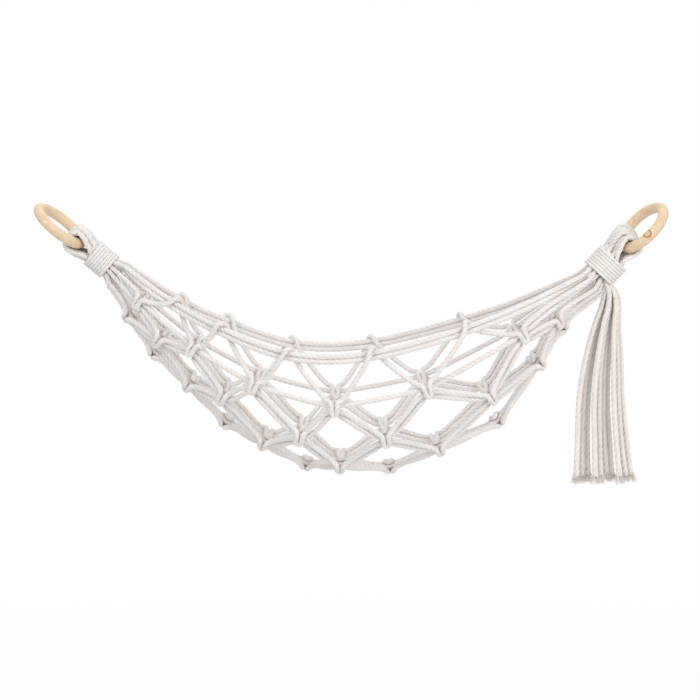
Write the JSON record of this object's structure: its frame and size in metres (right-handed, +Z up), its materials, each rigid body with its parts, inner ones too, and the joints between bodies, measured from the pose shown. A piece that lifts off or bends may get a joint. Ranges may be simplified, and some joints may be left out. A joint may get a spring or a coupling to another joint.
{
  "type": "hanging fruit basket",
  "caption": "Knotted cotton cord net slung between wooden rings, with a hanging tassel, for holding fruit under a shelf or cabinet.",
  "frame": {"origin": "where a hook bears inside the left ring, at the top of its eye", "axes": "+X along the basket to the right ring, +Y away from the viewer, +Z up"},
  "size_m": [0.5993, 0.184, 0.26],
  "materials": {
    "wood": "smooth pale hardwood, lightly sealed",
    "cotton": "twisted natural cotton cord, matt"
  },
  "bodies": {
    "basket": {"left_bights": "cotton", "right_bights": "cotton", "left_neck": "cotton", "right_neck": "cotton", "left_wrap": "cotton", "right_wrap": "cotton", "near_rim_strand_1": "cotton", "near_rim_strand_2": "cotton", "far_rim_strand_1": "cotton", "far_rim_strand_2": "cotton", "net_strand_01": "cotton", "net_strand_02": "cotton", "net_strand_03": "cotton", "net_strand_04": "cotton", "net_strand_05": "cotton", "net_strand_06": "cotton", "net_strand_07": "cotton", "net_strand_08": "cotton", "net_strand_09": "cotton", "net_strand_10": "cotton", "net_strand_11": "cotton", "net_strand_12": "cotton", "net_strand_13": "cotton", "net_strand_14": "cotton", "net_strand_15": "cotton", "net_strand_16": "cotton"},
    "left_ring": {"left_ring": "wood"},
    "right_ring": {"right_ring": "wood"},
    "tassel": {"tassel_tail_01": "cotton", "tassel_tail_02": "cotton", "tassel_tail_03": "cotton", "tassel_tail_04": "cotton", "tassel_tail_05": "cotton", "tassel_tail_06": "cotton", "tassel_tail_07": "cotton", "tassel_tail_08": "cotton", "tassel_tail_09": "cotton", "tassel_tail_10": "cotton"}
  },
  "joints": [
    {"name": "left_ring_swing", "type": "hinge", "parent": "basket", "child": "left_ring", "pos_m": [0.03309, 0, -0.02777], "axis": [0.1116, 0.9848, 0.133], "range_deg": [-32, 32]},
    {"name": "right_ring_swing", "type": "hinge", "parent": "basket", "child": "right_ring", "pos_m": [0.55099, 0, -0.03107], "axis": [-0.2223, 0.9511, 0.2147], "range_deg": [-32, 32]},
    {"name": "tassel_swing", "type": "hinge", "parent": "basket", "child": "tassel", "pos_m": [0.53558, 0, -0.07625], "axis": [0, 1, 0], "range_deg": [-35, 6]}
  ]
}
